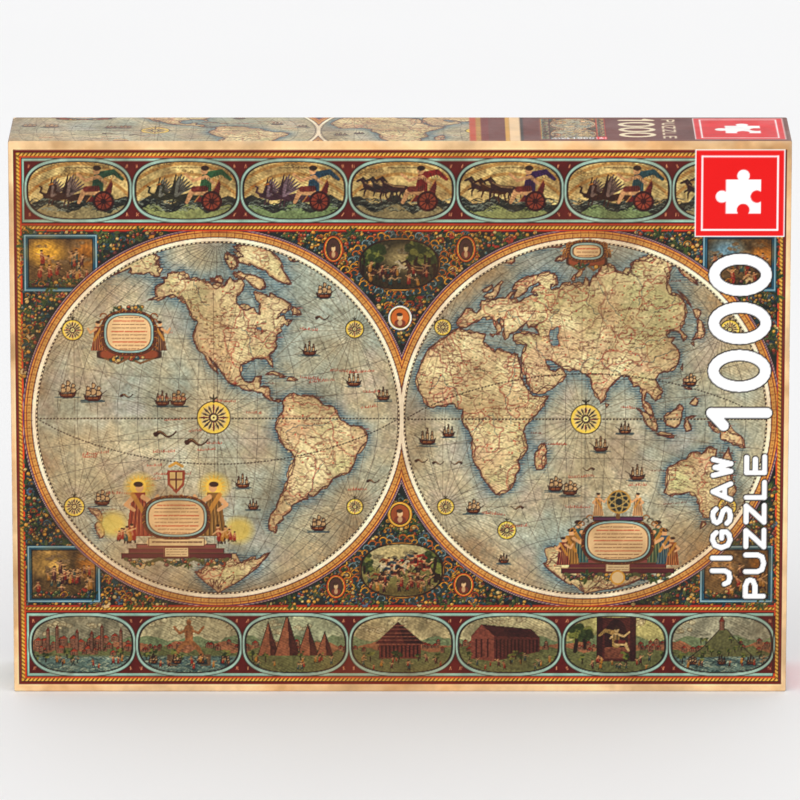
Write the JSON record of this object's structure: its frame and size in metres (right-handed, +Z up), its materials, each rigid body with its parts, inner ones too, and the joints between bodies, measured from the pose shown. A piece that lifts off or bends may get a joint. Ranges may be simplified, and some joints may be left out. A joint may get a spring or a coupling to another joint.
{
  "type": "boxed jigsaw puzzle",
  "caption": "Telescoping card box with a printed world map front, holding a film bag of jigsaw pieces, a folded leaflet and a glue sachet; the tray slides out of the lid.",
  "frame": {"origin": "middle of the bottom of the box's bounding box, as it stands on its long side", "axes": "+X along the long side, +Y from the printed front towards the tray's back, +Z up"},
  "size_m": [0.37, 0.055, 0.27],
  "materials": {
    "lid_print": "printed paper with a satin varnish and a fine linen grain",
    "tray_print": "printed paper with a satin varnish",
    "grey_board": "bare grey board with flecks",
    "stay_paper": "brown gummed paper",
    "bag_film": "clear wrinkled film",
    "puzzle_board": "die-cut board with a printed linen face and a blue-grey back",
    "leaflet_paper": "uncoated folded paper",
    "sachet_film": "white sachet film with crimped seals",
    "glue_powder": "fine dry powder"
  },
  "bodies": {
    "lid": {"lid_wrap": "lid_print", "lid_board": "grey_board", "lid_corner_stays": "stay_paper"},
    "tray": {"tray_wrap": "tray_print", "tray_board": "grey_board", "tray_corner_stays": "stay_paper"},
    "bag": {"bag_film": "bag_film", "inner_pieces": "puzzle_board", "corner_pieces": "puzzle_board", "edge_pieces": "puzzle_board", "four_tab_pieces": "puzzle_board", "three_tab_pieces": "puzzle_board", "opposite_tab_pieces": "puzzle_board", "adjacent_tab_pieces": "puzzle_board", "one_tab_pieces": "puzzle_board", "four_socket_pieces": "puzzle_board"},
    "folded_leaflet": {"leaflet": "leaflet_paper"},
    "glue_sachet": {"sachet_film": "sachet_film", "glue_powder": "glue_powder"}
  },
  "joints": [
    {"name": "tray_slide", "type": "slide", "parent": "lid", "child": "tray", "axis": [0, 1, 0], "range_m": [0, 0.15]},
    {"name": "bag_slide", "type": "slide", "parent": "tray", "child": "bag", "axis": [0, -1, 0], "range_m": [0, 0.057]},
    {"name": "leaflet_slide", "type": "slide", "parent": "tray", "child": "folded_leaflet", "axis": [0, -1, 0], "range_m": [0, 0.072]},
    {"name": "sachet_slide", "type": "slide", "parent": "tray", "child": "glue_sachet", "axis": [0, -1, 0], "range_m": [0, 0.087]}
  ],
  "couplings": [
    {"joint": "bag_slide", "follows": "tray_slide", "ratio": 0.38},
    {"joint": "leaflet_slide", "follows": "tray_slide", "ratio": 0.48},
    {"joint": "sachet_slide", "follows": "tray_slide", "ratio": 0.58}
  ]
}
